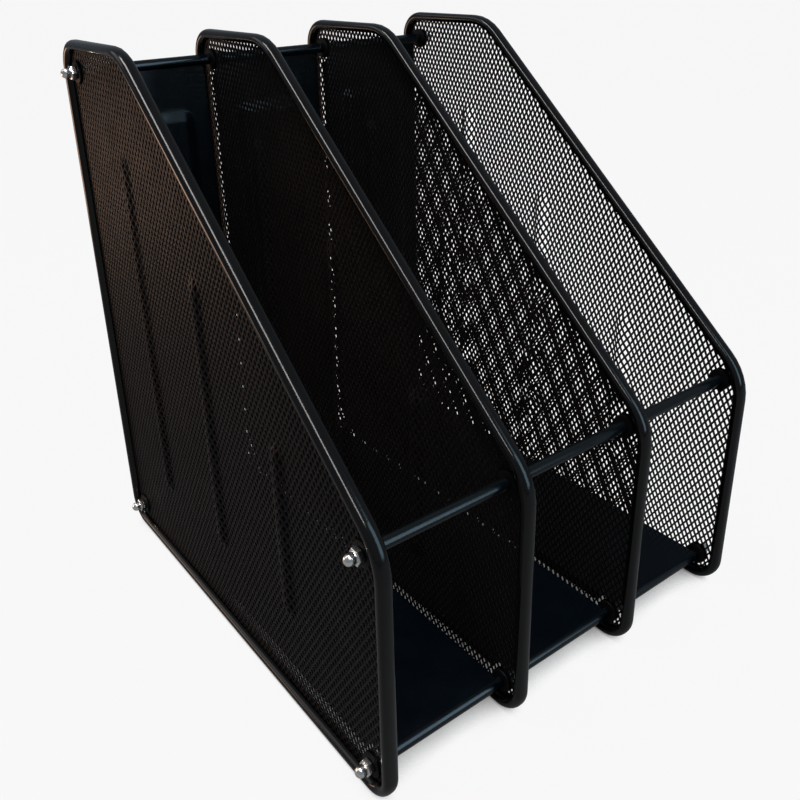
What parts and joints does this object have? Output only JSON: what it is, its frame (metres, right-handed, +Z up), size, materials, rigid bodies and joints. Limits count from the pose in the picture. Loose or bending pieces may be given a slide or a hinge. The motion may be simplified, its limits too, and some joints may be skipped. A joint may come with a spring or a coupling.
{
  "type": "magazine file",
  "caption": "Desk magazine file with open bays: expanded-mesh side panels in formed rims, sheet trays rolled round tie rods, and cap nuts.",
  "frame": {"origin": "centre of the bounding box, at the surface it stands on", "axes": "+Z up, the open low front faces -Y, +X to the right seen from the front"},
  "size_m": [0.256, 0.282, 0.305],
  "materials": {
    "rim_paint": "satin black powder coat",
    "mesh_paint": "satin black powder coat on expanded mesh",
    "tray_paint": "satin black powder coat",
    "spacer_paint": "satin black powder coat",
    "black_washer": "blackened steel",
    "rod_steel": "zinc-plated threaded rod",
    "nut_chrome": "bright plated"
  },
  "bodies": {
    "root": {"side_panel_rim_1": "rim_paint", "side_panel_mesh_1": "mesh_paint", "washer_1_top_back_left": "black_washer", "washer_1_top_back_right": "black_washer", "washer_1_bottom_back_left": "black_washer", "washer_1_bottom_back_right": "black_washer", "washer_1_bottom_front_left": "black_washer", "washer_1_bottom_front_right": "black_washer", "washer_1_upper_front_left": "black_washer", "washer_1_upper_front_right": "black_washer", "side_panel_rim_2": "rim_paint", "side_panel_mesh_2": "mesh_paint", "washer_2_top_back_left": "black_washer", "washer_2_top_back_right": "black_washer", "washer_2_bottom_back_left": "black_washer", "washer_2_bottom_back_right": "black_washer", "washer_2_bottom_front_left": "black_washer", "washer_2_bottom_front_right": "black_washer", "washer_2_upper_front_left": "black_washer", "washer_2_upper_front_right": "black_washer", "side_panel_rim_3": "rim_paint", "side_panel_mesh_3": "mesh_paint", "washer_3_top_back_left": "black_washer", "washer_3_top_back_right": "black_washer", "washer_3_bottom_back_left": "black_washer", "washer_3_bottom_back_right": "black_washer", "washer_3_bottom_front_left": "black_washer", "washer_3_bottom_front_right": "black_washer", "washer_3_upper_front_left": "black_washer", "washer_3_upper_front_right": "black_washer", "side_panel_rim_4": "rim_paint", "side_panel_mesh_4": "mesh_paint", "washer_4_top_back_left": "black_washer", "washer_4_top_back_right": "black_washer", "washer_4_bottom_back_left": "black_washer", "washer_4_bottom_back_right": "black_washer", "washer_4_bottom_front_left": "black_washer", "washer_4_bottom_front_right": "black_washer", "washer_4_upper_front_left": "black_washer", "washer_4_upper_front_right": "black_washer", "tray_1": "tray_paint", "spacer_tube_1": "spacer_paint", "tray_2": "tray_paint", "spacer_tube_2": "spacer_paint", "tray_3": "tray_paint", "spacer_tube_3": "spacer_paint", "tie_rod_top_back": "rod_steel", "cap_nut_top_back_left": "nut_chrome", "cap_nut_top_back_right": "nut_chrome", "tie_rod_bottom_back": "rod_steel", "cap_nut_bottom_back_left": "nut_chrome", "cap_nut_bottom_back_right": "nut_chrome", "tie_rod_bottom_front": "rod_steel", "cap_nut_bottom_front_left": "nut_chrome", "cap_nut_bottom_front_right": "nut_chrome", "tie_rod_upper_front": "rod_steel", "cap_nut_upper_front_left": "nut_chrome", "cap_nut_upper_front_right": "nut_chrome"}
  },
  "joints": []
}
